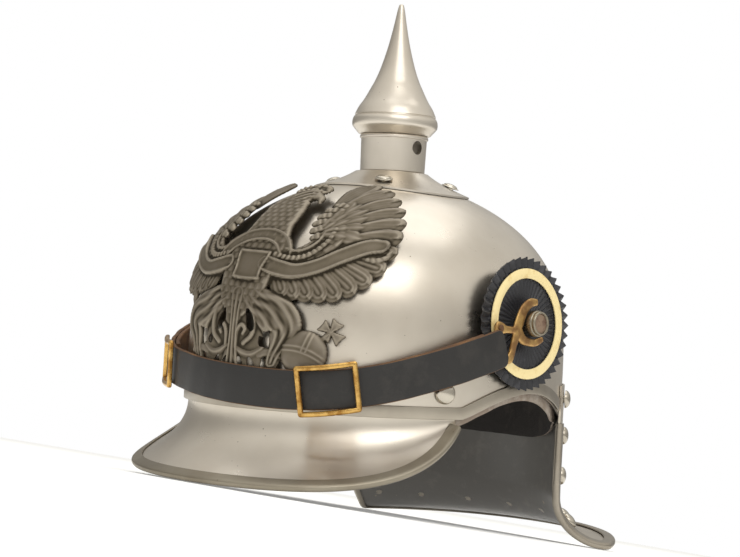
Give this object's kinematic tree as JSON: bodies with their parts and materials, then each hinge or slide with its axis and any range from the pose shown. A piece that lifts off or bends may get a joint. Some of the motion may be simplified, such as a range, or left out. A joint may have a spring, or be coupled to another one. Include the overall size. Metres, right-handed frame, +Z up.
{
  "type": "cuirassier helmet",
  "caption": "Domed steel helmet with screw-on spike, eagle plate, curved visor, flared neck guard, side rosettes and a leather chin strap carried over the visor.",
  "frame": {"origin": "middle of the box round the helmet, on the surface that it rests on", "axes": "+Z up, front of the helmet towards -Y, wearer's left towards +X; at rest on the visor's rim and the neck guard's flare, pitched forward by about 9 degrees from how it is worn"},
  "size_m": [0.2206, 0.305, 0.2832],
  "materials": {
    "steel": "warm satin steel with fine scratches and pits",
    "nickel": "nickel silver strip and rivets, worn satin",
    "eagle": "stamped plate toned dark grey-brown",
    "brass": "worn polished brass",
    "black_paint": "black painted metal, low sheen",
    "cream_paint": "cream painted metal, low sheen",
    "leather": "smooth black leather, raw brown edges",
    "suede": "brown napped leather"
  },
  "bodies": {
    "root": {"base_stud_1": "nickel", "base_stud_2": "nickel", "base_stud_3": "nickel", "base_stud_4": "nickel", "buckle_left": "brass", "buckle_right": "brass", "chin_strap": "leather", "eagle_plate": "eagle", "edge_band": "nickel", "edge_rivet_left_1": "nickel", "edge_rivet_left_2": "nickel", "edge_rivet_left_3": "nickel", "edge_rivet_right_1": "nickel", "edge_rivet_right_2": "nickel", "edge_rivet_right_3": "nickel", "flare_rivet_1": "nickel", "flare_rivet_2": "nickel", "flare_rivet_3": "nickel", "flare_rivet_4": "nickel", "flare_rivet_5": "nickel", "flare_rivet_6": "nickel", "flare_rivet_7": "nickel", "fork_left": "brass", "fork_right": "brass", "neck_guard": "steel", "neck_guard_trim": "nickel", "rosette_left": "black_paint", "rosette_post_left": "nickel", "rosette_post_right": "nickel", "rosette_right": "black_paint", "rosette_ring_left": "cream_paint", "rosette_ring_right": "cream_paint", "rosette_spacer_left": "brass", "rosette_spacer_right": "brass", "skull": "steel", "spike": "steel", "spike_base": "steel", "spike_neck": "steel", "strap_fold_left": "leather", "strap_fold_right": "leather", "sweatband": "suede", "visor": "steel", "visor_rivet_left": "nickel", "visor_rivet_right": "nickel", "visor_trim": "nickel"}
  },
  "joints": []
}
